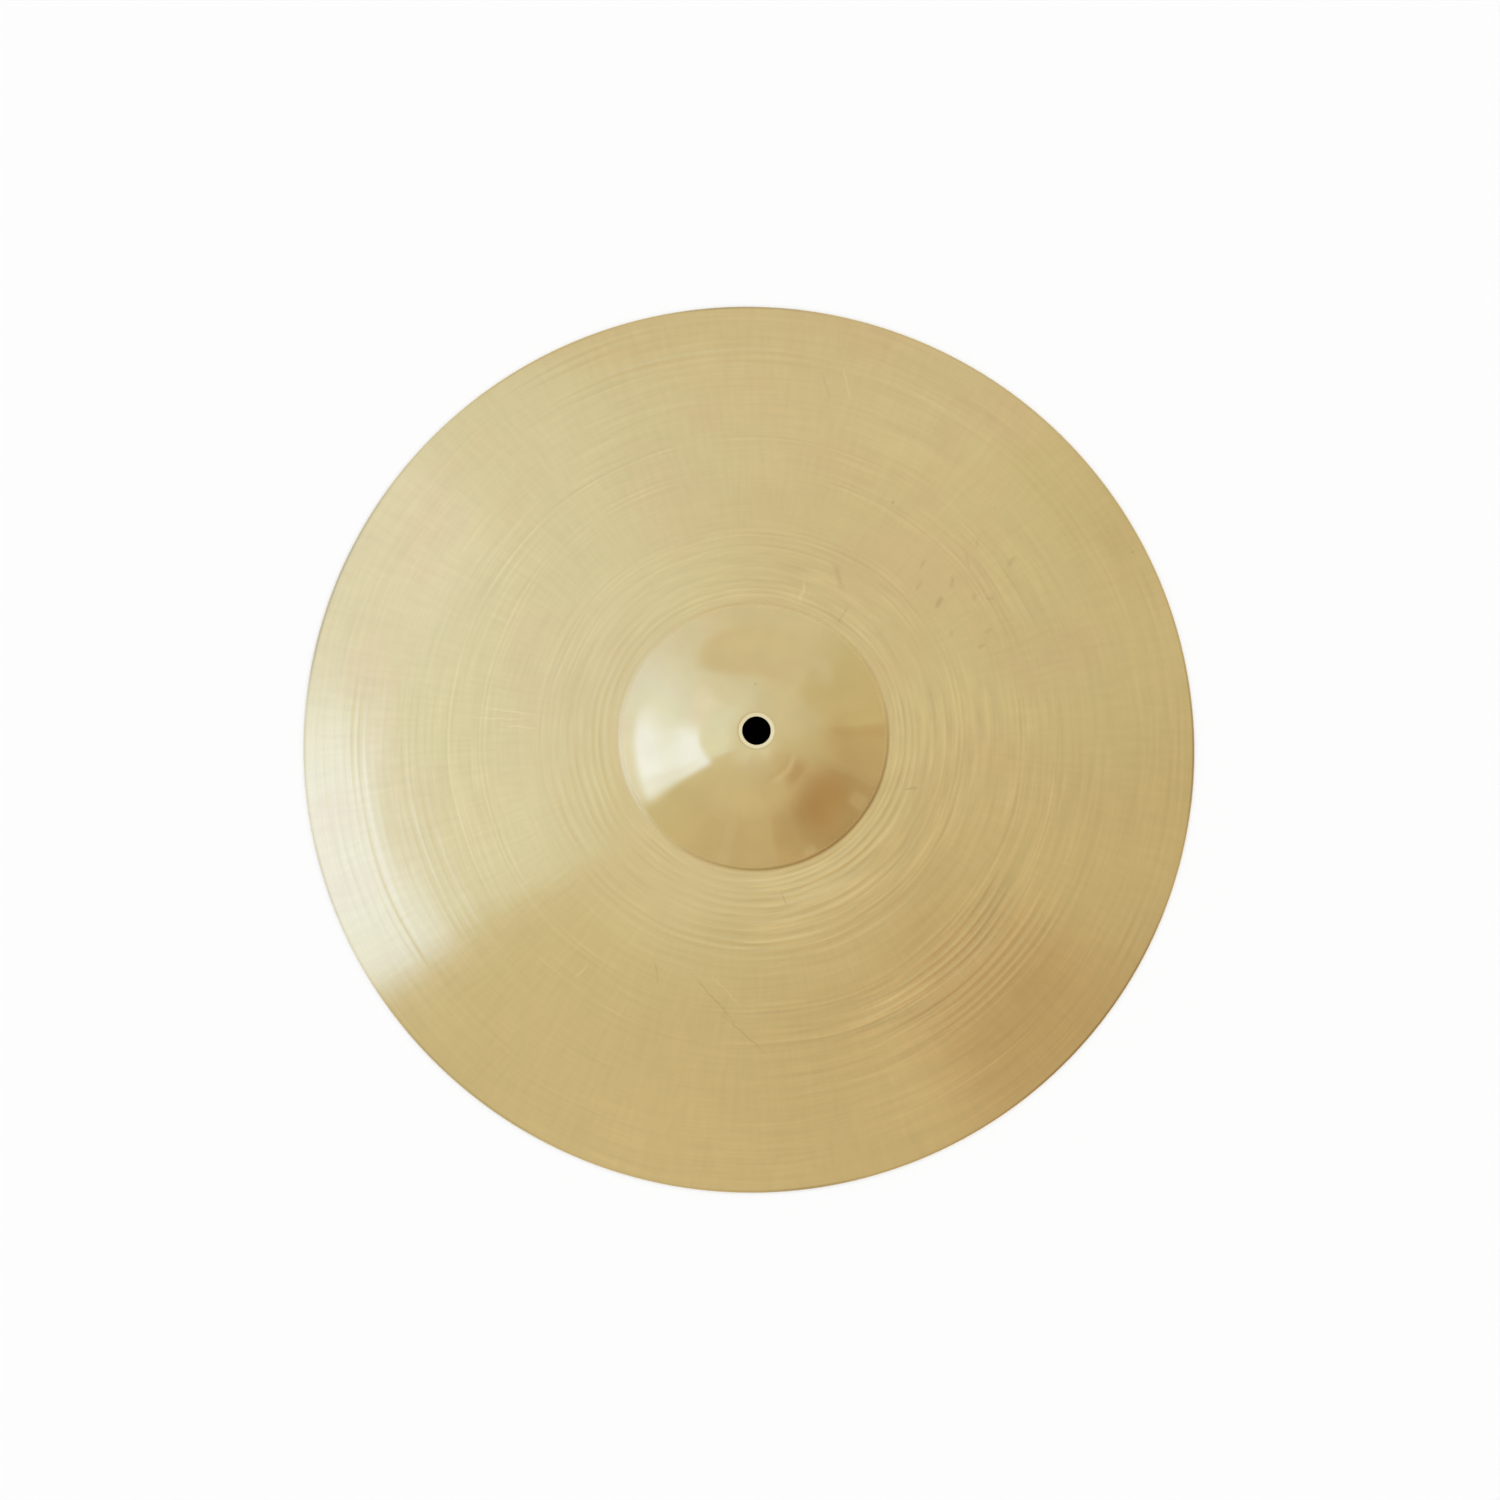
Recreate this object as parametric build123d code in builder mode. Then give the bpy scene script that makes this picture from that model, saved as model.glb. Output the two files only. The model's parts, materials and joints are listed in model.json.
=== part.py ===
"""A 16 inch crash cymbal: one round plate of brass, pressed to shape, turned on a lathe and bored.

From the middle outwards it has a bore for the stand's sleeve, a domed bell, a gently arched bow that
thins towards the rim, and a rounded rim. The bow carries turned rings above and below.
The cymbal lies on its rim with the bell up. The origin is on its axis, in the plane that the rim rests on.
"""

import os
from math import asin, floor, hypot, sqrt, tan

from build123d import *

# Driving dimensions, in millimetres
diameter = 406.4  # over the rim
bell_diameter = 120.0  # where the bell's dome and the bow's arch would cross
bow_height = 23.0  # middle of the plate at the bell's foot, over the rest plane
bell_height = 21.0  # middle of the plate at the crown, over the bell's foot
bell_thickness = 1.3
bow_thickness = 1.1  # at the bell's foot
rim_thickness = 0.85
foot_radius = 3.0  # bend between bell and bow, to the middle of the plate
bore_diameter = 12.7
bore_bevel_width = 1.4  # bevel round the bore's upper edge, measured outwards
bore_bevel_depth = 0.4
bore_deburr = 0.2  # 45 degree chamfer round the bore's lower edge
ring_pitch = 3.9  # turned rings, crest to crest, as nearly as a whole number of rings allows
ring_depth = 0.03
plain_margin = 0.8  # unturned strip between the foot's bend and the first ring
plain_rim = 5.0  # unturned strip between the last ring and the outside of the rim

rim_radius = diameter / 2
bell_radius = bell_diameter / 2
bore_radius = bore_diameter / 2
bead = rim_thickness / 2  # the rim is rounded to half its thickness


class Cap:
    """The upper half of a circle centred on the cymbal's axis, seen in the XZ half-section."""

    def __init__(self, centre_z, radius):
        self.centre_z = centre_z
        self.radius = radius

    @classmethod
    def through(cls, a, b):
        """The cap that passes through two points, each (distance from the axis, height)."""
        centre_z = (b[0] ** 2 + b[1] ** 2 - a[0] ** 2 - a[1] ** 2) / (2 * (b[1] - a[1]))
        return cls(centre_z, hypot(a[0], a[1] - centre_z))

    def at(self, r, lift=0.0):
        """The point at distance r from the axis, moved out along the cap's normal by lift."""
        z = self.centre_z + sqrt(self.radius**2 - r**2)
        share = 1 + lift / self.radius
        return r * share, self.centre_z + (z - self.centre_z) * share

    def slope(self, r):
        """The angle, in radians, at which the cap falls away at distance r from the axis."""
        return asin(r / self.radius)

    def offset(self, distance):
        return Cap(self.centre_z, self.radius + distance)

    def meets(self, other):
        """How far from the axis this cap and another one cross."""
        centres = other.centre_z - self.centre_z
        along = (centres**2 + self.radius**2 - other.radius**2) / (2 * centres)
        return sqrt(self.radius**2 - along**2)


# The middle of the plate: the bow runs from the rim's bead to the bell's foot, then the bell to the crown
foot = (bell_radius, bow_height)
bead_centre = (rim_radius - bead, bead)
bow_middle = Cap.through(bead_centre, foot)
bell_rise = bell_radius**2 + bell_height**2
bell_middle = Cap(bow_height + bell_height - bell_rise / (2 * bell_height), bell_rise / (2 * bell_height))

# The plate's two faces: the bell is evenly thick, the bow thins from its foot to the rim
bell_upper = bell_middle.offset(bell_thickness / 2)
bell_lower = bell_middle.offset(-bell_thickness / 2)
rim_upper = bow_middle.at(bead_centre[0], bead)
rim_lower = bow_middle.at(bead_centre[0], -bead)
bow_upper = Cap.through(rim_upper, bow_middle.at(bell_radius, bow_thickness / 2))
bow_lower = Cap.through(rim_lower, bow_middle.at(bell_radius, -bow_thickness / 2))
foot_upper = bell_upper.meets(bow_upper)
foot_lower = bell_lower.meets(bow_lower)

# The bore's wall, between the bevel above it and the chamfer below it
bevel_edge = bell_upper.at(bore_radius + bore_bevel_width)
deburr_edge = bell_lower.at(bore_radius + bore_deburr)
wall_top = (bore_radius, bevel_edge[1] - bore_bevel_depth)
wall_bottom = (bore_radius, deburr_edge[1] + bore_deburr)

# The turned rings start clear of the foot's bend, which reaches this far either side of the corner
foot_turn = bell_middle.slope(bell_radius) - bow_middle.slope(bell_radius)
bend_reach = (foot_radius + bell_thickness) * tan(foot_turn / 2)
rings_from = bell_radius + bend_reach + plain_margin
rings_to = rim_radius - plain_rim
ring_count = max(1, floor((rings_to - rings_from) / ring_pitch + 0.5))
ring_step = (rings_to - rings_from) / ring_count


def cap_arc(cap, start, end):
    """The stretch of a cap between two distances from the axis."""
    ThreePointArc(cap.at(start), cap.at((start + end) / 2), cap.at(end))


def turned_rings(cap, into_plate):
    """Shallow hollows side by side along a cap, meeting in fine crests that lie on it."""
    for ring in range(ring_count):
        start = rings_from + ring * ring_step
        end = start + ring_step
        ThreePointArc(cap.at(start), cap.at((start + end) / 2, into_plate * ring_depth), cap.at(end))


with BuildPart() as cymbal:
    with BuildSketch(Plane.XZ) as half_section:
        with BuildLine():
            cap_arc(bell_upper, bevel_edge[0], foot_upper)
            cap_arc(bow_upper, foot_upper, rings_from)
            turned_rings(bow_upper, into_plate=-1)
            cap_arc(bow_upper, rings_to, rim_upper[0])
            ThreePointArc(rim_upper, (rim_radius, bead), rim_lower)
            cap_arc(bow_lower, rim_lower[0], rings_to)
            turned_rings(bow_lower, into_plate=1)
            cap_arc(bow_lower, rings_from, foot_lower)
            cap_arc(bell_lower, foot_lower, deburr_edge[0])
            Polyline(deburr_edge, wall_bottom, wall_top, bevel_edge)
        make_face()
        upper_corner = half_section.vertices().sort_by_distance((*bell_upper.at(foot_upper), 0))[0]
        fillet(upper_corner, foot_radius - bell_thickness / 2)
        lower_corner = half_section.vertices().sort_by_distance((*bell_lower.at(foot_lower), 0))[0]
        fillet(lower_corner, foot_radius + bell_thickness / 2)
    revolve(axis=Axis.Z)

cymbal.part.label = "cymbal"

os.makedirs("parts", exist_ok=True)
export_step(cymbal.part, "parts/cymbal.step")

print("solids", len(cymbal.solids()), "valid", cymbal.part.is_valid, "volume", round(cymbal.part.volume))
print("size", cymbal.part.bounding_box())
print("rings", ring_count, "step", round(ring_step, 3), "between", round(rings_from, 2), round(rings_to, 2))
print("bore radius", bore_radius, "wall from", round(wall_bottom[1], 3), "to", round(wall_top[1], 3))
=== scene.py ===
"""The looks of the crash cymbal: a turned and polished brass plate, a pale floor and a soft studio.

Everything is in metres and in the CAD model's frame: the axis is Z, the bell is up, and the rim rests on
z = 0. Directions round the plate and round the room are counter-clockwise from +X.
"""

import json
import math

import bmesh
import bpy
import numpy as np
from mathutils import Matrix, Vector


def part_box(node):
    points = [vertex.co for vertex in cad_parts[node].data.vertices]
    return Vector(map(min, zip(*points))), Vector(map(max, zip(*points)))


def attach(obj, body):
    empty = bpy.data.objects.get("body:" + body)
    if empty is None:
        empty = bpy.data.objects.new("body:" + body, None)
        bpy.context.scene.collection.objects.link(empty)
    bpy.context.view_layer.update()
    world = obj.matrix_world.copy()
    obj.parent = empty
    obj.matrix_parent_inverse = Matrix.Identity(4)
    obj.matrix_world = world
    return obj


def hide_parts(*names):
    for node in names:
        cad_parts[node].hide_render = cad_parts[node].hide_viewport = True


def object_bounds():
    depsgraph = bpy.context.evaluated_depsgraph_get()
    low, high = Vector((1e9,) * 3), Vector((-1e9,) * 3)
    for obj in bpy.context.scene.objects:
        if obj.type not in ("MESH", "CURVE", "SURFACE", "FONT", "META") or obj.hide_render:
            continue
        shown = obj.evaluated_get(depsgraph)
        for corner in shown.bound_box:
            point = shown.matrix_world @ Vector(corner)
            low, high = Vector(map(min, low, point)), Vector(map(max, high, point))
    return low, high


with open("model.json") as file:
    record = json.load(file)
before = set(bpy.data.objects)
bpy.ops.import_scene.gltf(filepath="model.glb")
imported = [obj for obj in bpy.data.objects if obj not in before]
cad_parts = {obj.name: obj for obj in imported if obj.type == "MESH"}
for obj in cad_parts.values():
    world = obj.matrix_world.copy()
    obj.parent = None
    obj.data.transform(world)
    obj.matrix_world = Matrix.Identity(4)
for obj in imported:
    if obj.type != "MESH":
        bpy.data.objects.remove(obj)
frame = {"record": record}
cad_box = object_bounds()
scene = bpy.context.scene

# ---------------------------------------------------------------------------------------------------------
# Camera: almost straight down, from a little in front and to the left
# ---------------------------------------------------------------------------------------------------------

CAMERA_TILT = math.radians(6.66)  # from straight down
CAMERA_SIDE = math.radians(248.8)  # the direction that the camera is moved in
CAMERA_DISTANCE = 1.2
CAMERA_LENS = 63.16  # in mm, on a sensor of CAMERA_SENSOR mm
CAMERA_SENSOR = 36
CAMERA_AIM = Vector((-0.0010, -0.0038, 0.0))


def make_camera():
    back = Vector(
        (
            math.sin(CAMERA_TILT) * math.cos(CAMERA_SIDE),
            math.sin(CAMERA_TILT) * math.sin(CAMERA_SIDE),
            math.cos(CAMERA_TILT),
        )
    )
    right = Vector((0, 1, 0)).cross(back).normalized()
    up = back.cross(right)
    data = bpy.data.cameras.new("camera")
    data.sensor_width = CAMERA_SENSOR
    data.lens = CAMERA_LENS
    data.clip_start = 0.01
    data.clip_end = 50
    camera = bpy.data.objects.new("camera", data)
    turn = Matrix((right, up, back)).transposed().to_4x4()
    camera.matrix_world = Matrix.Translation(CAMERA_AIM + back * CAMERA_DISTANCE) @ turn
    scene.collection.objects.link(camera)
    scene.camera = camera


make_camera()

# ---------------------------------------------------------------------------------------------------------
# The plate's shape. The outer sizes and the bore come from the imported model
# ---------------------------------------------------------------------------------------------------------

low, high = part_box("cymbal")
RIM_RADIUS = (high.x - low.x) / 2
BORE_RADIUS = next(m for m in frame["record"]["mounts"] if m["name"] == "centre_hole")["dims"]["r_mm"] / 1000

BELL_RADIUS = 0.060  # where the bell's dome and the bow's arch would cross
BOW_HEIGHT = 0.023  # middle of the plate at the bell's foot
BELL_HEIGHT = 0.021  # middle of the plate at the crown, over the bell's foot
BELL_THICKNESS = 0.0013
BOW_THICKNESS = 0.0011
RIM_THICKNESS = 0.00085
FOOT_RADIUS = 0.003  # bend between bell and bow, to the middle of the plate
BEVEL_WIDTH = 0.0014
BEVEL_DEPTH = 0.0004
DEBURR = 0.0002
RINGS_FROM = 0.06214
RINGS_TO = 0.1982
RING_COUNT = 35
RING_DEPTH = 0.00003

BEAD = RIM_THICKNESS / 2  # the rim is rounded to half its thickness
BEVEL_EDGE = BORE_RADIUS + BEVEL_WIDTH
DEBURR_EDGE = BORE_RADIUS + DEBURR


class Cap:
    """The upper half of a circle centred on the axis, in a section through the axis."""

    def __init__(self, centre_z, radius):
        self.centre_z = centre_z
        self.radius = radius

    @classmethod
    def through(cls, a, b):
        """The cap that passes through two points, each (distance from the axis, height)."""
        centre_z = (b[0] ** 2 + b[1] ** 2 - a[0] ** 2 - a[1] ** 2) / (2 * (b[1] - a[1]))
        return cls(centre_z, math.hypot(a[0], a[1] - centre_z))

    def z(self, r):
        return self.centre_z + math.sqrt(self.radius**2 - r**2)

    def at(self, r, lift=0.0):
        """The point at distance r from the axis, moved out along the cap's normal by lift."""
        share = 1 + lift / self.radius
        return r * share, self.centre_z + (self.z(r) - self.centre_z) * share

    def offset(self, distance):
        return Cap(self.centre_z, self.radius + distance)

    def meets(self, other):
        """The point where this cap and another one cross."""
        centres = other.centre_z - self.centre_z
        along = (centres**2 + self.radius**2 - other.radius**2) / (2 * centres)
        return math.sqrt(self.radius**2 - along**2), self.centre_z + along


class Face:
    """One face of the plate: bell, bend at the foot, and bow."""

    def __init__(self, bell, bow, bend):
        self.bell = bell
        self.bow = bow
        self.bend = bend
        self.bend_r, self.bend_z = bell.offset(bend).meets(bow.offset(bend))
        self.bend_from = self.bend_r * bell.radius / (bell.radius + bend)
        self.bend_to = self.bend_r * bow.radius / (bow.radius + bend)

    def z(self, r):
        if r <= self.bend_from:
            return self.bell.z(r)
        if r >= self.bend_to:
            return self.bow.z(r)
        return self.bend_z - math.sqrt(self.bend**2 - (r - self.bend_r) ** 2)


bow_middle = Cap.through((RIM_RADIUS - BEAD, BEAD), (BELL_RADIUS, BOW_HEIGHT))
bell_size = (BELL_RADIUS**2 + BELL_HEIGHT**2) / (2 * BELL_HEIGHT)
bell_middle = Cap(BOW_HEIGHT + BELL_HEIGHT - bell_size, bell_size)


def make_face(side):
    """side is 1 for the upper face and -1 for the lower one."""
    bow = Cap.through(
        bow_middle.at(RIM_RADIUS - BEAD, side * BEAD),
        bow_middle.at(BELL_RADIUS, side * BOW_THICKNESS / 2),
    )
    return Face(bell_middle.offset(side * BELL_THICKNESS / 2), bow, FOOT_RADIUS - side * BELL_THICKNESS / 2)


upper = make_face(1)
lower = make_face(-1)

# ---------------------------------------------------------------------------------------------------------
# Unevenness from hand work. The order of the random draws sets the pattern
# ---------------------------------------------------------------------------------------------------------

random = np.random.default_rng(16)
ring_share = np.concatenate([[0], np.cumsum(random.uniform(0.78, 1.22, RING_COUNT))])
ring_edges = RINGS_FROM + (RINGS_TO - RINGS_FROM) * ring_share / ring_share[-1]

# Bands where the turning tool bit deeper: (from radius, to radius, share of RING_DEPTH)
DEEP_BANDS = ((0.062, 0.099, 1.15), (0.119, 0.160, 0.75), (0.160, 0.176, 0.3), (0.176, 0.199, 1.1))
PLAIN_BAND = 0.5  # the share between those bands
# In one direction from the axis, in degrees, the rings between these radii are much deeper
DEEP_SIDE = 311
DEEP_SIDE_RINGS = ((0.124, 0.137), (0.144, 0.160))
DEEP_SIDE_SPREAD = 24  # degrees either way
DEEP_SIDE_FADE = 8  # degrees, within the spread
DEEP_SIDE_EXTRA = 3.4  # times the ring's usual depth

WANDER = 0.00035  # size of the largest of the waves that move a ring off a true circle
WANDER_FROM = 0.064  # they fade in outside this radius and out inside the next one
WANDER_TO = 0.196
WANDER_FADE = 0.01

WOBBLE = 0.000022  # height of the largest of the waves in the plate's faces
WOBBLE_WAVES = 14
WOBBLE_FROM = 0.012  # they fade in outside this radius and out towards the rim
WOBBLE_FADE = 0.02


def ring_depth(ring):
    middle = (ring_edges[ring] + ring_edges[ring + 1]) / 2
    share = next((share for start, end, share in DEEP_BANDS if start < middle < end), PLAIN_BAND)
    return RING_DEPTH * share * random.uniform(0.6, 1.35)


ring_depths = [ring_depth(ring) for ring in range(RING_COUNT)]
ring_fades = random.uniform(0, 2 * math.pi, (RING_COUNT, 2))

# Each wave: height, turns round the plate, where it starts, twist, how fast it changes outwards, its shift
wobble_waves = [
    (
        random.uniform(0.2, 1.0) * WOBBLE,
        random.integers(2, 15),
        random.uniform(0, 2 * math.pi),
        random.uniform(-60, 60),
        random.uniform(90, 300),
        random.uniform(0, 2 * math.pi),
    )
    for _ in range(WOBBLE_WAVES)
]


def wobble(r, angle):
    """How far the plate stands off its true shape, as hand-worked plate does."""
    total = np.zeros_like(angle)
    for height, turns, start, twist, change, shift in wobble_waves:
        total += height * np.sin(turns * angle + start + twist * r) * np.sin(change * r + shift)
    fade_rim = np.clip((RIM_RADIUS - r) / WOBBLE_FADE, 0, 1)
    fade_bore = np.clip((r - WOBBLE_FROM) / WOBBLE_FADE, 0, 1)
    return total * fade_rim * fade_bore


def ring_fade(ring, angle):
    """How a turned ring's depth comes and goes round the plate."""
    if ring is None:
        return 1.0
    first, second = ring_fades[ring]
    fade = 1 + 0.28 * np.sin(2 * angle + first) + 0.22 * np.sin(5 * angle + second)
    if any(start < ring_edges[ring] < end for start, end in DEEP_SIDE_RINGS):
        away = np.degrees(np.angle(np.exp(1j * (angle - math.radians(DEEP_SIDE)))))
        fade += DEEP_SIDE_EXTRA * np.clip((DEEP_SIDE_SPREAD - np.abs(away)) / DEEP_SIDE_FADE, 0, 1)
    return fade


def wander(r, angle):
    """How far a row strays outwards or inwards from a true circle."""
    fade = np.clip((r - WANDER_FROM) / WANDER_FADE, 0, 1) * np.clip((WANDER_TO - r) / WANDER_FADE, 0, 1)
    waves = np.sin(3 * angle + 40 * r) + 0.7 * np.sin(7 * angle - 90 * r) + 0.5 * np.sin(16 * angle + 150 * r)
    return WANDER * fade * waves


# ---------------------------------------------------------------------------------------------------------
# The plate as a mesh: rows of points round the axis, from the bore over the rim and back underneath
# ---------------------------------------------------------------------------------------------------------

SEGMENTS = 248  # points in each row
BELL_ROWS = 44
BELL_ROWS_BELOW = 22
BEND_ROWS = 9  # closer together, from BEND_MARGIN inside the bend to the first ring
BEND_MARGIN = 0.0006
RING_ROWS = 6  # in each turned ring
RING_ROWS_BELOW = 2
EDGE_ROWS = 6  # between the last ring and the rounding of the rim
RIM_ROWS = 7
WALL_ROWS = 4
BEVEL_ROWS = (0.08, 0.5, 0.92)  # as shares of the bevel's width


def face_rows(face, side, bore_edge, bell_rows, ring_rows):
    """(radius, height, depth of the turned hollow, ring) of each row of a face, from the bore to the rim."""
    foot = face.bend_from - BEND_MARGIN
    rows = [(r, face.z(r), 0.0, None) for r in np.linspace(bore_edge, foot, bell_rows, endpoint=False)]
    rows += [(r, face.z(r), 0.0, None) for r in np.linspace(foot, RINGS_FROM, BEND_ROWS, endpoint=False)]
    for ring in range(RING_COUNT):
        for step in range(ring_rows):
            share = step / ring_rows
            r = ring_edges[ring] + (ring_edges[ring + 1] - ring_edges[ring]) * share
            rows.append((r, face.z(r), -side * ring_depths[ring] * 4 * share * (1 - share), ring))
    rim_from = bow_middle.at(RIM_RADIUS - BEAD, side * BEAD)[0]
    rows += [(r, face.z(r), 0.0, None) for r in np.linspace(RINGS_TO, rim_from, EDGE_ROWS)]
    return rows


def rim_rows():
    """The rounded rim, from the upper face to the lower one."""
    centre = RIM_RADIUS - BEAD
    lean = math.asin(centre / bow_middle.radius)
    angles = np.linspace(math.pi / 2 - lean, -math.pi / 2 - lean, RIM_ROWS + 2)[1:-1]
    return [(centre + BEAD * math.cos(a), BEAD + BEAD * math.sin(a), 0.0, None) for a in angles]


def bore_rows():
    """The chamfer under the bore, its wall, and the bevel over it."""
    top = upper.z(BEVEL_EDGE) - BEVEL_DEPTH
    bottom = lower.z(DEBURR_EDGE) + DEBURR
    wall = [(BORE_RADIUS, z, 0.0, None) for z in np.linspace(bottom, top, WALL_ROWS)]
    bevel = [(BORE_RADIUS + BEVEL_WIDTH * step, top + BEVEL_DEPTH * step, 0.0, None) for step in BEVEL_ROWS]
    return wall + bevel


def make_plate():
    rows = face_rows(upper, 1, BEVEL_EDGE, BELL_ROWS, RING_ROWS)
    rows += rim_rows()
    rows += face_rows(lower, -1, DEBURR_EDGE, BELL_ROWS_BELOW, RING_ROWS_BELOW)[::-1]
    rows += bore_rows()
    angles = np.arange(SEGMENTS) * 2 * math.pi / SEGMENTS
    points = []
    for r, z, hollow, ring in rows:
        stray = wander(r, angles)
        fall = stray * math.tan(r / bow_middle.radius)
        z_all = z - fall + hollow * ring_fade(ring, angles) + wobble(r, angles)
        points.append(np.stack([(r + stray) * np.cos(angles), (r + stray) * np.sin(angles), z_all], 1))
    faces = []
    for row in range(len(rows)):
        a = row * SEGMENTS
        b = (row + 1) % len(rows) * SEGMENTS
        for j in range(SEGMENTS):
            k = (j + 1) % SEGMENTS
            faces.append((a + j, b + j, b + k, a + k))
    mesh = bpy.data.meshes.new("turned_plate")
    mesh.from_pydata(np.concatenate(points).tolist(), [], faces)
    mesh.validate()
    edit = bmesh.new()
    edit.from_mesh(mesh)
    bmesh.ops.recalc_face_normals(edit, faces=edit.faces)
    edit.to_mesh(mesh)
    edit.free()
    mesh.polygons.foreach_set("use_smooth", [True] * len(mesh.polygons))
    mesh.update()
    plate = bpy.data.objects.new("turned_plate", mesh)
    scene.collection.objects.link(plate)
    return plate


plate = make_plate()
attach(plate, "root")
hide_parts("cymbal")

# ---------------------------------------------------------------------------------------------------------
# Small helpers for shader nodes
# ---------------------------------------------------------------------------------------------------------


class Nodes:
    """Adds nodes to one tree. A value may be a socket, a number or a colour."""

    def __init__(self, tree):
        self.tree = tree
        tree.nodes.clear()

    def add(self, kind, **settings):
        node = self.tree.nodes.new(kind)
        for name, value in settings.items():
            setattr(node, name, value)
        return node

    def put(self, socket, value):
        if isinstance(value, bpy.types.NodeSocket):
            self.tree.links.new(value, socket)
        else:
            socket.default_value = value

    def math(self, operation, *values):
        node = self.add("ShaderNodeMath", operation=operation)
        for socket, value in zip(node.inputs, values):
            self.put(socket, value)
        return node.outputs[0]

    def plus(self, total, *others):
        for other in others:
            total = self.math("ADD", total, other)
        return total

    def minus(self, a, b):
        return self.math("SUBTRACT", a, b)

    def times(self, product, *others):
        for other in others:
            product = self.math("MULTIPLY", product, other)
        return product

    def ease(self, value, start, end, low=0.0, high=1.0):
        """A smooth change from low at start to high at end."""
        node = self.add("ShaderNodeMapRange", interpolation_type="SMOOTHSTEP")
        for socket, number in zip(node.inputs, (value, start, end, low, high)):
            self.put(socket, number)
        return node.outputs[0]

    def between(self, value, start, end, soft):
        """One between start and end and zero outside them, with soft edges."""
        rise = self.ease(value, start - soft, start + soft)
        fall = self.ease(value, end - soft, end + soft, 1, 0)
        return self.times(rise, fall)

    def mix(self, factor, a, b, blend="MIX"):
        node = self.add("ShaderNodeMix", data_type="RGBA", blend_type=blend)
        self.put(node.inputs[0], factor)
        self.put(node.inputs[6], a)
        self.put(node.inputs[7], b)
        return node.outputs[2]

    def paint(self, under, mask, colour):
        """Lays a plain colour over another where the mask says."""
        return self.mix(mask, under, (*colour, 1))

    def scale_colour(self, colour, factor):
        return self.mix(1.0, colour, self.vector(factor, factor, factor), "MULTIPLY")

    def vector(self, x, y, z):
        node = self.add("ShaderNodeCombineXYZ")
        for socket, value in zip(node.inputs, (x, y, z)):
            self.put(socket, value)
        return node.outputs[0]

    def split(self, vector):
        node = self.add("ShaderNodeSeparateXYZ")
        self.put(node.inputs[0], vector)
        return node.outputs

    def from_axis(self, x, y):
        """The distance of a place from the cymbal's axis."""
        return self.math("SQRT", self.plus(self.math("POWER", x, 2), self.math("POWER", y, 2)))

    def noise(self, vector, scale, detail=2.0, roughness=0.5, output="Fac"):
        node = self.add("ShaderNodeTexNoise", noise_dimensions="3D")
        self.put(node.inputs["Vector"], vector)
        node.inputs["Scale"].default_value = scale
        node.inputs["Detail"].default_value = detail
        node.inputs["Roughness"].default_value = roughness
        return node.outputs[output]

    def ramp(self, factor, stops):
        node = self.add("ShaderNodeValToRGB")
        node.color_ramp.interpolation = "LINEAR"
        elements = node.color_ramp.elements
        while len(elements) < len(stops):
            elements.new(0.5)
        for element, (position, colour) in zip(elements, stops):
            element.position = position
            element.color = (*colour, 1)
        self.put(node.inputs[0], factor)
        return node.outputs[0]


# ---------------------------------------------------------------------------------------------------------
# The studio: a soft room that only reflections see, a pale backdrop, and light for the floor
# ---------------------------------------------------------------------------------------------------------

# Colour of the walls by direction in degrees: near the floor, and higher up
LOW_WALLS = (
    (0, (0.555, 0.465, 0.33)),
    (9, (0.555, 0.465, 0.33)),
    (13, (0.60, 0.54, 0.39)),
    (42, (0.61, 0.57, 0.44)),
    (60, (0.66, 0.65, 0.58)),
    (100, (0.685, 0.69, 0.66)),
    (118, (0.705, 0.73, 0.76)),
    (133, (0.76, 0.83, 0.95)),
    (146, (0.80, 0.91, 1.15)),
    (176, (0.81, 0.90, 1.04)),
    (204, (0.78, 0.84, 0.92)),
    (211, (0.62, 0.60, 0.485)),
    (228, (0.60, 0.555, 0.43)),
    (259, (0.605, 0.54, 0.43)),
    (261, (0.55, 0.475, 0.352)),
    (284, (0.545, 0.47, 0.347)),
    (286, (0.55, 0.46, 0.33)),
    (297, (0.53, 0.44, 0.31)),
    (299, (0.53, 0.435, 0.31)),
    (303, (0.50, 0.40, 0.28)),
    (315, (0.47, 0.36, 0.235)),
    (346, (0.48, 0.385, 0.265)),
    (352, (0.54, 0.45, 0.315)),
    (360, (0.555, 0.465, 0.33)),
)
HIGH_WALLS = (
    (0, (0.615, 0.565, 0.448)),
    (20, (0.64, 0.61, 0.52)),
    (45, (0.665, 0.64, 0.555)),
    (75, (0.68, 0.665, 0.60)),
    (95, (0.705, 0.72, 0.70)),
    (125, (0.73, 0.78, 0.82)),
    (150, (0.77, 0.84, 0.90)),
    (170, (0.785, 0.855, 0.91)),
    (200, (0.77, 0.83, 0.87)),
    (205, (0.67, 0.64, 0.545)),
    (225, (0.645, 0.605, 0.495)),
    (255, (0.64, 0.59, 0.48)),
    (285, (0.62, 0.555, 0.44)),
    (305, (0.61, 0.54, 0.42)),
    (330, (0.585, 0.505, 0.39)),
    (345, (0.595, 0.53, 0.415)),
    (360, (0.615, 0.565, 0.448)),
)
HIGH_WALLS_FROM = (38, 58)  # the heights, in degrees, over which the walls change from low to high
CEILING = (0.705, 0.695, 0.64)
CEILING_FROM = (72.5, 84)
CUPBOARD = (0.435, 0.29, 0.165)

FAR_WALL = (0.665, 0.635, 0.565)  # a rounded, warmer part of the wall behind the plate
FAR_WALL_MIDDLE = (80, 36)  # direction and height
FAR_WALL_HALF = (41, 16.5)

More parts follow.
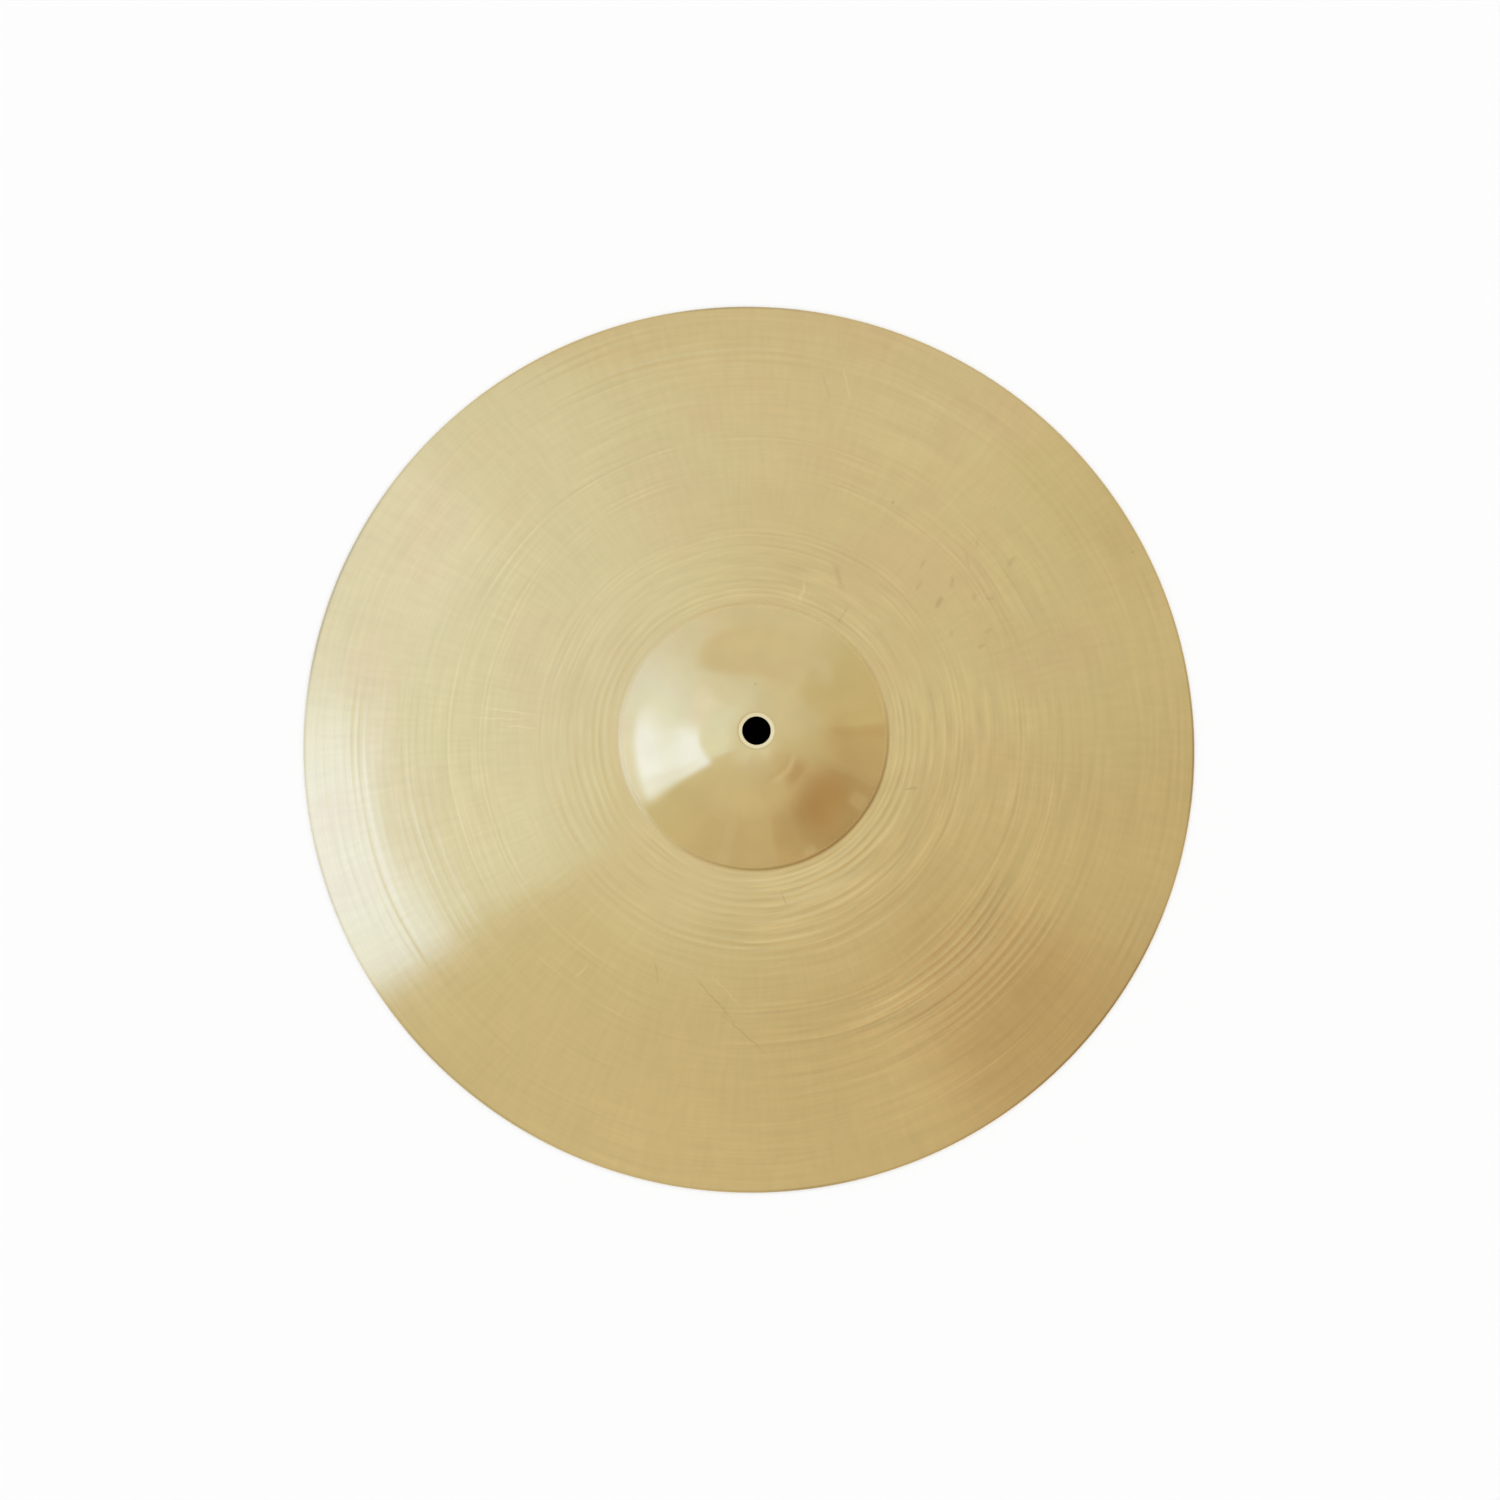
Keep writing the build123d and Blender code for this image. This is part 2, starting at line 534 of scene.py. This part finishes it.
WINDOW = (0.97, 1.16, 1.78)
WINDOW_LEFT = (151, 176)
WINDOW_RIGHT = (203, 209)
WINDOW_SILL = (20.5, 25.5)
WINDOW_TOP = (61.0, 63.2)  # in direction WINDOW_MIDDLE
WINDOW_MIDDLE = 183
WINDOW_LEAN = 0.13  # degrees that the top rises for each degree round the room
WINDOW_SHADE = (0.83, 0.95, 1.17)

# Things in the room, each painted over those before it. Directions from and to and the softness of those
# edges, heights from and to and the softness of those edges, all in degrees, then strength and colour
WALL_THINGS = (
    (304, 340, 11, 27, 52, 10, 0.70, CUPBOARD),
    (259, 284, 0.8, 20, 45, 1.2, 0.45, (0.61, 0.54, 0.425)),
    (286, 297, 0.8, 30, 48, 1.2, 0.35, (0.50, 0.40, 0.28)),
    (298, 304, 0.8, 14, 23, 1.2, 0.55, (0.62, 0.55, 0.44)),
    (331, 338, 0.8, 14, 26, 1.2, 0.55, (0.58, 0.50, 0.38)),
    (344, 351, 0.8, 8, 46, 1.2, 0.40, (0.56, 0.48, 0.36)),
    (6, 12, 0.8, 8, 44, 1.2, 0.40, (0.51, 0.42, 0.28)),
    (238, 253, 0.8, 18, 44, 1.2, 0.30, (0.55, 0.48, 0.35)),
    (262, 280, 0.8, 48, 68, 1.2, 0.30, (0.66, 0.60, 0.49)),
    (20, 28, 0.8, 18, 40, 1.2, 0.20, (0.66, 0.62, 0.50)),
    (33, 52, 0.8, 34, 52, 1.2, 0.30, (0.58, 0.53, 0.39)),
)
LEDGES = (  # their edges show the turned rings
    (312, 342, 8, 57.5, 64.3, 0.6, 0.5, CUPBOARD),
    (294, 343, 9, 66.8, 69.6, 0.6, 0.30, CUPBOARD),
    (300, 344, 9, 64.8, 66.6, 0.5, 0.45, (0.80, 0.74, 0.62)),
)
CEILING_PATCHES = (
    (262, 312, 12, 75, 84, 3, 0.5, (0.60, 0.56, 0.46)),
    (66, 125, 15, 74, 83, 3, 0.5, (0.73, 0.75, 0.72)),
    (304, 350, 8, 79.5, 95, 0.7, 0.25, (0.80, 0.79, 0.74)),
)
WALL_BY_WINDOW = ((129, 160, 5, 48, 62, 4, 0.45, (0.88, 0.93, 1.18)),)  # a paler strip
WINDOW_SHADES = (
    (147, 171, 6, 34, 51, 6, 0.6, WINDOW_SHADE),
    (165, 206, 4, 37, 50, 5, 0.3, WINDOW_SHADE),
    (171, 181, 3, 36, 50, 5, 0.25, WINDOW_SHADE),
    (197, 208, 3, 22, 59, 5, 0.45, WINDOW_SHADE),
)
BACKDROP = (0.93, 0.93, 0.93)
FILL = (1.0, 1.0, 1.0)  # light on matt surfaces


def room_colour(n):
    """The room's colour in each direction."""
    ray = n.add("ShaderNodeTexCoord").outputs["Generated"]
    x, y, z = n.split(ray)
    turn = n.math("FRACT", n.plus(n.math("DIVIDE", n.math("ARCTAN2", y, x), 2 * math.pi), 1))
    degrees = n.times(turn, 360)
    height = n.times(n.math("ARCSINE", z), 180 / math.pi)

    def furnish(colour, things):
        for side_from, side_to, side_soft, up_from, up_to, up_soft, strength, own in things:
            side = n.between(degrees, side_from, side_to, side_soft)
            up = n.between(height, up_from, up_to, up_soft)
            colour = n.paint(colour, n.times(side, up, strength), own)
        return colour

    low = n.ramp(turn, [(side / 360, colour) for side, colour in LOW_WALLS])
    high = n.ramp(turn, [(side / 360, colour) for side, colour in HIGH_WALLS])
    colour = n.mix(n.ease(height, *HIGH_WALLS_FROM), low, high)
    off = [
        n.math("POWER", n.math("DIVIDE", n.minus(value, middle), half), 2)
        for value, middle, half in zip((degrees, height), FAR_WALL_MIDDLE, FAR_WALL_HALF)
    ]
    colour = n.paint(colour, n.ease(n.plus(*off), 0.75, 1.25, 1, 0), FAR_WALL)
    colour = furnish(colour, WALL_THINGS + LEDGES)
    colour = n.paint(colour, n.ease(height, *CEILING_FROM), CEILING)
    colour = furnish(colour, CEILING_PATCHES + WALL_BY_WINDOW)
    level = n.minus(height, n.times(n.minus(degrees, WINDOW_MIDDLE), WINDOW_LEAN))
    window = n.times(
        n.ease(degrees, *WINDOW_LEFT),
        n.ease(degrees, *WINDOW_RIGHT, 1, 0),
        n.ease(height, *WINDOW_SILL),
        n.ease(level, *WINDOW_TOP, 1, 0),
    )
    colour = n.paint(colour, window, WINDOW)
    colour = furnish(colour, WINDOW_SHADES)
    return n.scale_colour(colour, n.ease(n.noise(ray, 2.6, 4.0, 0.65), 0.3, 0.7, 0.965, 1.035))


def make_world():
    world = bpy.data.worlds.new("studio")
    scene.world = world
    world.use_nodes = True
    n = Nodes(world.node_tree)

    def background(colour):
        node = n.add("ShaderNodeBackground")
        n.put(node.inputs["Color"], colour)
        return node.outputs[0]

    def choose(mask, otherwise, where):
        node = n.add("ShaderNodeMixShader")
        for socket, value in zip(node.inputs, (mask, otherwise, where)):
            n.put(socket, value)
        return node.outputs[0]

    rays = n.add("ShaderNodeLightPath")
    lit = choose(rays.outputs["Is Diffuse Ray"], background(room_colour(n)), background((*FILL, 1)))
    seen = choose(rays.outputs["Is Camera Ray"], lit, background((*BACKDROP, 1)))
    out = n.add("ShaderNodeOutputWorld")
    n.put(out.inputs["Surface"], seen)


LIGHT_SIZE = 3.0
LIGHT_HEIGHT = 2.2
LIGHT_POWER = 5.5
FLOOR_SIZE = 12  # from the middle to each side
PAPER = (0.93, 0.93, 0.925)
UNDER_PLATE_PAINTED_SHADE = (0.01, 0.01, 0.01)  # painted shade: the floor under the plate is near black, so the hole shows black


def make_floor_light():
    """A wide soft panel overhead. It lights the floor only, so that no panel is mirrored in the brass."""
    data = bpy.data.lights.new("overhead_panel", "AREA")
    data.shape = "DISK"
    data.size = LIGHT_SIZE
    data.energy = LIGHT_POWER
    panel = bpy.data.objects.new("overhead_panel", data)
    panel.location = (0, 0, LIGHT_HEIGHT)
    panel.visible_glossy = False
    panel.visible_camera = False
    scene.collection.objects.link(panel)


def make_floor():
    mesh = bpy.data.meshes.new("floor")
    corners = [(x * FLOOR_SIZE, y * FLOOR_SIZE, 0) for x, y in ((-1, -1), (1, -1), (1, 1), (-1, 1))]
    mesh.from_pydata(corners, [], [(0, 1, 2, 3)])
    floor = bpy.data.objects.new("floor", mesh)
    floor.location.z = cad_box[0].z
    scene.collection.objects.link(floor)
    material = bpy.data.materials.new("floor_paper")
    material.use_nodes = True
    n = Nodes(material.node_tree)
    paper = n.add("ShaderNodeBsdfPrincipled")
    x, y, _ = n.split(n.add("ShaderNodeNewGeometry").outputs["Position"])
    # painted shade under the plate, fading out to the pale paper towards the rim
    beyond_painted_shade = n.ease(n.from_axis(x, y), RIM_RADIUS * 0.2, RIM_RADIUS * 0.9)
    n.put(paper.inputs["Base Color"], n.mix(beyond_painted_shade, (*UNDER_PLATE_PAINTED_SHADE, 1), (*PAPER, 1)))
    paper.inputs["Roughness"].default_value = 0.9
    paper.inputs["Specular IOR Level"].default_value = 0.1
    out = n.add("ShaderNodeOutputMaterial")
    n.put(out.inputs["Surface"], paper.outputs[0])
    mesh.materials.append(material)


make_world()
make_floor_light()
make_floor()

# ---------------------------------------------------------------------------------------------------------
# Brass
# ---------------------------------------------------------------------------------------------------------

BRASS = (0.90, 0.74, 0.40)
CROWN = (0.92, 0.78, 0.452)  # polished by handling, round the hole
CUT_METAL = (0.95, 0.86, 0.58)  # the bright bevel round the hole
HOLE_PAINTED_SHADE = (0.55, 0.38, 0.16)  # painted shade: a thin dark ring just outside the bevel
TARNISH = (0.87, 0.715, 0.37)
BLUSH = (0.895, 0.70, 0.385)  # faintly redder patches
CREASE_PAINTED_SHADE = (0.42, 0.27, 0.10)  # painted shade in the crease at the bell's foot
# painted dark reflection along the rounded rim
RIM_PAINTED_DARK_REFLECTION = (0.40, 0.33, 0.20)

# Places on the plate, by distance from the axis: where a change starts and ends, or from, to and softness
CROWN_FADE = (0.012, 0.030)
LATHED_FADE = (0.049, 0.0635)  # the bell's lower part has fainter lines
BOW_FADE = (0.0595, 0.0625)
BEVEL_FADE = (BEVEL_EDGE - 0.0001, BEVEL_EDGE + 0.0002)
RIM_FADE = (RIM_RADIUS - 0.0016, RIM_RADIUS - 0.0006)
HOLE_SHADE_BAND = (0.0079, 0.0088, 0.0003)
CREASE_SHADE_BAND = (0.0594, 0.0603, 0.0006)
CREASE_BAND = (0.0588, 0.0614, 0.0009)

# Bands where the turning marks show most: (from radius, to radius, strength)
TURNED_BANDS = ((0.058, 0.098, 1.1), (0.118, 0.164, 0.6), (0.172, 0.200, 0.5))
TURNED_SOFT = 0.003
TURNED_ELSEWHERE = 0.5
RIGHT_SIDE_BAND = (0.098, 0.142)  # they show here too, but only on the right-hand side
RIGHT_SIDE_STRENGTH = 0.9
DEEP_SIDE_CORE = 15  # degrees either way of DEEP_SIDE that have the full strength
DEEP_SIDE_STRENGTH = 1.1
DEEP_SIDE_SOFT = 0.002

# Noise in rings: change on the way round, size outwards, detail, roughness, shift
LINES = (3.0, 0.0030, 2.5, 0.6, 0.0)
FINE_LINES = (5.0, 0.0009, 2.0, 0.55, 7.0)
STREAKS = (55.0, 0.016, 2.0, 0.55, 3.0)
# Plain noise: scale, detail, roughness
STRAY = (15.0, 1.0, 0.5)  # moves the painted lines off true circles, by up to half of STRAY_WIDTH
STRAY_WIDTH = 0.0045
PATCHES = (38.0, 3.0, 0.55)
BROAD_PATCHES = (9.0, 2.0, 0.5)
BLUSHES = (22.0, 3.0, 0.6)
COMING_AND_GOING = (18.0, 2.0, 0.5)  # of the turned lines
CROOKEDNESS = (210.0, 2.0, 0.5)  # of the marks of use
CROOKED_WIDTH = 0.0026
# How far each lightens and darkens the metal, from its darkest to its lightest
# the swings of the turned lines paint the rings' shading into the colour
LINES_SWING = 0.165
FINE_LINES_SWING = 0.08
STREAKS_SWING = 0.10
PATCHES_SWING = 0.075

# Specks: cells to a metre, the share of cells without one, largest size in cells, and how dark they are
SPECK_CELLS = 62.0
SPECK_FREE = 0.72
SPECK_SIZE = 0.055
SPECK_TONES = (0.06, 0.20)

ROUGHNESS = 0.095  # and what is added to it in places
BOW_ROUGHNESS = 0.035
CREASE_ROUGHNESS = 0.30
LINES_ROUGHNESS = 0.06
PATCHES_ROUGHNESS = 0.03
BEVEL_ROUGHNESS = 0.6
BEVEL_MATT = 0.45  # the share of the bevel's light that is scattered and not mirrored
ANISOTROPY = 0.6
QUARTER_TURN = 0.25
RELIEF = 0.000016  # height of the turning marks' relief

# Lines scored all round by the turning tool, each painted as a highlight beside a shade: radius, and how much
# they lighten the metal
SCORED_LINES = (
    (0.0646, 0.055),
    (0.0671, 0.045),
    (0.0703, 0.025),
    (0.0865, 0.035),
    (0.0920, 0.040),
    (0.0946, 0.035),
    (0.1206, 0.035),
    (0.1229, 0.035),
    (0.1370, 0.045),
)
SCORED_WIDTH = 0.0011  # from a line's painted highlight to its painted shade

# Marks of use: direction round the plate in degrees, distance from the axis, lean from the outward
# direction in degrees, length, width, and how much they lighten or darken the metal
MARKS = (
    (173.5, 0.108, 0, 0.026, 0.0010, 0.09),
    (175.2, 0.112, 2, 0.034, 0.0009, 0.07),
    (177.0, 0.104, -2, 0.019, 0.0010, 0.09),
    (262.0, 0.117, 50, 0.036, 0.0010, -0.12),
    (264.5, 0.113, 48, 0.024, 0.0009, 0.09),
    (268.5, 0.131, 50, 0.034, 0.0010, -0.12),
    (22.5, 0.113, 8, 0.006, 0.0021, -0.12),
    (33.0, 0.121, 35, 0.005, 0.0021, -0.09),
    (36.5, 0.106, 24, 0.007, 0.0026, -0.17),
    (38.5, 0.117, 42, 0.007, 0.0023, -0.13),
    (35.0, 0.146, 0, 0.008, 0.0023, -0.14),
    (43.0, 0.104, 12, 0.008, 0.0022, -0.09),
    (71.0, 0.071, 4, 0.014, 0.0020, 0.10),
    (54.0, 0.070, 3, 0.012, 0.0013, -0.10),
    (62.0, 0.084, 46, 0.018, 0.0032, -0.10),
    (75.0, 0.172, 28, 0.022, 0.0013, 0.07),
    (78.0, 0.169, 30, 0.017, 0.0012, -0.07),
    (248.0, 0.112, 30, 0.012, 0.0012, -0.10),
    (234.0, 0.128, -12, 0.010, 0.0013, 0.10),
    (281.5, 0.073, 12, 0.007, 0.0014, -0.14),
    (343.0, 0.075, 20, 0.008, 0.0013, -0.13),
    (25.0, 0.119, 10, 0.005, 0.0022, -0.09),
    (28.5, 0.103, 50, 0.005, 0.0019, -0.08),
    (31.0, 0.127, -20, 0.005, 0.0020, -0.09),
    (40.0, 0.129, 60, 0.009, 0.0018, -0.09),
    (41.5, 0.138, 30, 0.006, 0.0019, -0.08),
    (46.0, 0.112, 9, 0.007, 0.0020, -0.09),
)


class PlateNodes(Nodes):
    """Nodes for the plate's material, which know the place on the plate and the marks of its making."""

    def __init__(self, tree):
        super().__init__(tree)
        self.position = self.add("ShaderNodeTexCoord").outputs["Object"]
        self.x, self.y, _ = self.split(self.position)
        self.radius = self.from_axis(self.x, self.y)
        safe = self.math("MAXIMUM", self.radius, 0.001)
        self.across = self.math("DIVIDE", self.x, safe)  # 1 on the right, towards +X, and -1 on the left
        self.along = self.math("DIVIDE", self.y, safe)  # 1 at the back, towards +Y, and -1 at the front
        stray = self.times(self.minus(self.noise(self.position, *STRAY), 0.5), STRAY_WIDTH)
        self.strayed = self.plus(self.radius, stray)

        self.bow = self.ease(self.radius, *BOW_FADE)
        self.lathed = self.ease(self.radius, *LATHED_FADE)
        self.bevel = self.ease(self.radius, *BEVEL_FADE, 1, 0)
        self.turned = self.turning()
        self.lines = self.round_noise(*LINES)
        self.fine = self.round_noise(*FINE_LINES)
        self.patches = self.noise(self.position, *PATCHES)
        self.broad = self.noise(self.position, *BROAD_PATCHES)

    def inside(self, start, end, soft):
        return self.between(self.radius, start, end, soft)

    def toward(self, degrees):
        """1 in a direction from the axis, and falling away on each side of it."""
        angle = math.radians(degrees)
        return self.plus(self.times(self.across, math.cos(angle)), self.times(self.along, math.sin(angle)))

    def round_noise(self, arc, pitch, detail, roughness, shift):
        """Noise in rings: arc is how much it changes on the way round, pitch its size outwards."""
        outwards = self.plus(self.math("DIVIDE", self.strayed, pitch), shift)
        where = self.vector(self.times(self.across, arc), self.times(self.along, arc), outwards)
        return self.noise(where, 1.0, detail, roughness)

    def about_one(self, value, swing, *strength):
        """Turns noise into a factor near one."""
        return self.plus(self.times(self.minus(value, 0.5), swing, *strength), 1.0)

    def turning(self):
        """How strongly the turning marks show, both in the relief and in the painted shading of their lines.
        """
        bands = [
            self.times(self.inside(start, end, TURNED_SOFT), share) for start, end, share in TURNED_BANDS
        ]
        right_side = self.ease(self.across, 0.5, 1.0, 0, RIGHT_SIDE_STRENGTH)
        bands.append(self.times(self.inside(*RIGHT_SIDE_BAND, TURNED_SOFT), right_side))
        fade = [math.cos(math.radians(away)) for away in (DEEP_SIDE_SPREAD, DEEP_SIDE_CORE)]
        deep_side = self.ease(self.toward(DEEP_SIDE), *fade, 0, DEEP_SIDE_STRENGTH)
        deep = self.inside(DEEP_SIDE_RINGS[0][0], DEEP_SIDE_RINGS[-1][1], DEEP_SIDE_SOFT)
        bands.append(self.times(deep, deep_side))
        return self.plus(*bands, TURNED_ELSEWHERE)


def mark(n, crooked, direction, distance, lean, length, width, strength):
    """A scratch or a dash, as an offset to the tone."""
    local = n.add("ShaderNodeMapping", vector_type="TEXTURE")
    n.put(local.inputs["Vector"], crooked)
    angle = math.radians(direction)
    local.inputs["Location"].default_value = (distance * math.cos(angle), distance * math.sin(angle), 0)
    local.inputs["Rotation"].default_value = (0, 0, math.radians(direction + lean))
    local.inputs["Scale"].default_value = (length / 2, width / 2, 1)
    lengthwise, sideways, _ = n.split(local.outputs[0])
    ends = n.ease(n.math("ABSOLUTE", lengthwise), 0.3, 1.0, 1, 0)
    sides = n.ease(n.math("ABSOLUTE", sideways), 0.1, 1.3, strength, 0)
    return n.times(ends, sides)


def marks_of_use(n):
    """All the scratches and dashes, made crooked, as one offset to the tone."""
    bend = n.noise(n.position, *CROOKEDNESS, output="Color")
    crooked = n.add("ShaderNodeVectorMath", operation="MULTIPLY_ADD")
    n.put(crooked.inputs[0], bend)
    crooked.inputs[1].default_value = (CROOKED_WIDTH, CROOKED_WIDTH, 0)
    n.put(crooked.inputs[2], n.position)
    return n.plus(*[mark(n, crooked.outputs[0], *entry) for entry in MARKS])


def specks(n):
    """Small dark spots, at most one in each cell of a Voronoi pattern."""
    cells = n.add("ShaderNodeTexVoronoi")
    n.put(cells.inputs["Vector"], n.position)
    cells.inputs["Scale"].default_value = SPECK_CELLS
    chance = n.add("ShaderNodeSeparateColor")
    n.put(chance.inputs[0], cells.outputs["Color"])
    size = n.times(n.ease(chance.outputs[0], SPECK_FREE, 1.0), SPECK_SIZE)
    speck = n.math("LESS_THAN", cells.outputs["Distance"], size)
    return n.times(speck, n.ease(chance.outputs[1], 0, 1, *SPECK_TONES))


def brass_tone(n):
    """How light or dark the metal is, as a factor near one. The turned rings' shading and reflections are
    painted in as light and dark lines.
    """
    # the painted shading of the turned lines comes and goes, and is fainter on the left-hand side and at the
    # back
    fade = n.times(
        n.ease(n.noise(n.position, *COMING_AND_GOING), 0.38, 0.6, 0.15, 1.45),
        n.ease(n.across, -0.9, 0, 0.65, 1),
        n.ease(n.along, 0.3, 1.0, 1, 0.75),
    )
    tone = n.about_one(n.lines, LINES_SWING, n.times(n.lathed, n.turned, fade))
    tone = n.times(tone, n.about_one(n.fine, FINE_LINES_SWING, n.lathed))
    for line_radius, line_tone in SCORED_LINES:
        # each scored line: a painted highlight, and a painted shade just outside it
        off = n.minus(n.strayed, line_radius)
        scored_highlight = n.ease(n.math("ABSOLUTE", off), 0.0001, 0.0008, line_tone, 0)
        scored_shade = n.ease(n.math("ABSOLUTE", n.minus(off, SCORED_WIDTH)), 0.0001, 0.0009, line_tone * 0.7, 0)
        tone = n.plus(tone, n.times(n.minus(scored_highlight, scored_shade), fade))
    streaks = n.about_one(n.round_noise(*STREAKS), STREAKS_SWING, n.ease(n.radius, 0.07, 0.12, 0.2, 1.0))
    tone = n.times(tone, streaks)
    tone = n.times(tone, n.about_one(n.patches, PATCHES_SWING))
    return n.minus(n.plus(tone, marks_of_use(n)), specks(n))


def brass_colour(n):
    colour = n.mix(n.ease(n.radius, *CROWN_FADE, 1, 0), (*BRASS, 1), (*CROWN, 1))
    colour = n.paint(colour, n.ease(n.broad, 0.45, 0.75, 0, 0.5), TARNISH)
    blush = n.noise(n.vector(n.x, n.y, 0.3), *BLUSHES)
    redder = n.times(n.ease(blush, 0.44, 0.66, 0, 0.75), n.ease(n.along, -0.8, 0.1, 0.35, 1))
    colour = n.paint(colour, redder, BLUSH)
    colour = n.scale_colour(colour, brass_tone(n))
    # the painted shade in the crease is darkest at the front, a little to the right
    crease_shade_side = n.ease(n.plus(n.times(n.across, 0.6), n.times(n.along, -0.8)), 0.2, 0.95)
    colour = n.paint(colour, n.times(n.inside(*CREASE_SHADE_BAND), n.times(crease_shade_side, 0.62)), CREASE_PAINTED_SHADE)
    # painted shade in a thin ring round the hole
    colour = n.paint(colour, n.times(n.inside(*HOLE_SHADE_BAND), 0.16), HOLE_PAINTED_SHADE)
    colour = n.paint(colour, n.bevel, CUT_METAL)
    # painted dark reflection along the rounded rim, in patches
    rim_reflection_patches = n.ease(n.broad, 0.4, 0.65, 0.1, 0.5)
    return n.paint(colour, n.times(n.ease(n.radius, *RIM_FADE), rim_reflection_patches), RIM_PAINTED_DARK_REFLECTION)


def brass_roughness(n):
    return n.plus(
        n.times(n.bow, BOW_ROUGHNESS),
        ROUGHNESS,
        n.times(n.inside(*CREASE_BAND), CREASE_ROUGHNESS),
        n.times(n.minus(n.lines, 0.5), n.times(n.bow, LINES_ROUGHNESS)),
        n.times(n.minus(n.patches, 0.5), PATCHES_ROUGHNESS),
        n.times(n.bevel, BEVEL_ROUGHNESS),
    )


def make_brass():
    material = bpy.data.materials.new("turned_brass")
    material.use_nodes = True
    n = PlateNodes(material.node_tree)
    brass = n.add("ShaderNodeBsdfPrincipled")
    # the turning marks spread reflections outwards and inwards, so the grain is turned by a quarter
    brass.inputs["Anisotropic"].default_value = ANISOTROPY
    brass.inputs["Anisotropic Rotation"].default_value = QUARTER_TURN
    n.put(brass.inputs["Tangent"], n.add("ShaderNodeTangent", direction_type="RADIAL", axis="Z").outputs[0])
    n.put(brass.inputs["Base Color"], brass_colour(n))
    n.put(brass.inputs["Metallic"], n.minus(1.0, n.times(n.bevel, BEVEL_MATT)))
    n.put(brass.inputs["Roughness"], brass_roughness(n))
    bump = n.add("ShaderNodeBump")
    bump.inputs["Strength"].default_value = 1.0
    bump.inputs["Distance"].default_value = RELIEF
    relief = n.plus(n.times(n.lines, n.times(n.lathed, n.turned)), n.times(n.fine, n.times(n.lathed, 0.35)))
    n.put(bump.inputs["Height"], relief)
    n.put(brass.inputs["Normal"], bump.outputs[0])
    out = n.add("ShaderNodeOutputMaterial")
    n.put(out.inputs["Surface"], brass.outputs[0])
    return material


plate.data.materials.append(make_brass())

scene.view_settings.view_transform = "Standard"
scene.view_settings.look = "None"
